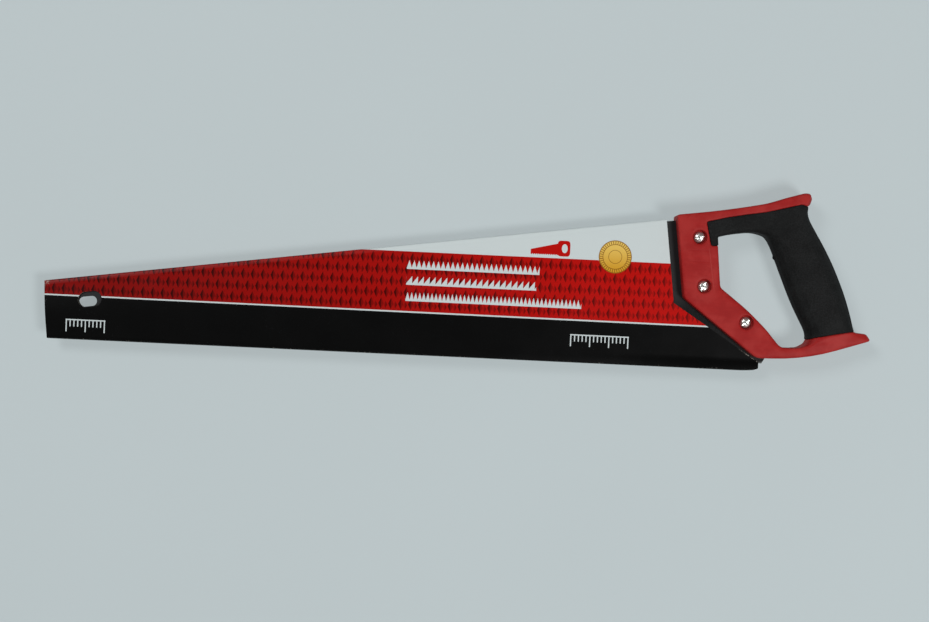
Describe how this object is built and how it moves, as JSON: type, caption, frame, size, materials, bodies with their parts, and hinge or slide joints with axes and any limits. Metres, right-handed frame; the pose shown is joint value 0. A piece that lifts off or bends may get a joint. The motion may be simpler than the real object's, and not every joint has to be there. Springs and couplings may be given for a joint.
{
  "type": "crosscut saw",
  "caption": "Hand saw with a tapered toothed blade, a closed pistol handle in hard plastic with a soft grip, sunk screws, and a folded card sleeve that slides off over the toe.",
  "frame": {"origin": "middle of the part's box in X and Y, at its lowest point in Z, with the saw lying on its side", "axes": "+X along the tooth line from the toe to the handle, +Y from the teeth to the back of the blade, +Z square to the blade"},
  "size_m": [0.6508, 0.1404, 0.0296],
  "materials": {
    "blade_steel": "dark satin coating, bare ground teeth",
    "hard_plastic": "moulded red plastic, satin",
    "soft_grip": "fine-textured soft overmould, matte",
    "printed_card": "printed and lightly varnished card",
    "plated_fastener": "bright zinc plate"
  },
  "bodies": {
    "saw": {"blade": "blade_steel", "handle_core": "hard_plastic", "grip_overmould": "soft_grip", "screw_top": "plated_fastener", "screw_middle": "plated_fastener", "screw_bottom": "plated_fastener", "nut_top": "plated_fastener", "nut_middle": "plated_fastener", "nut_bottom": "plated_fastener"},
    "sleeve": {"blade_sleeve": "printed_card"}
  },
  "joints": [
    {"name": "sleeve_slide", "type": "slide", "parent": "saw", "child": "sleeve", "axis": [-1, 0, 0], "range_m": [0, 0.57]}
  ]
}
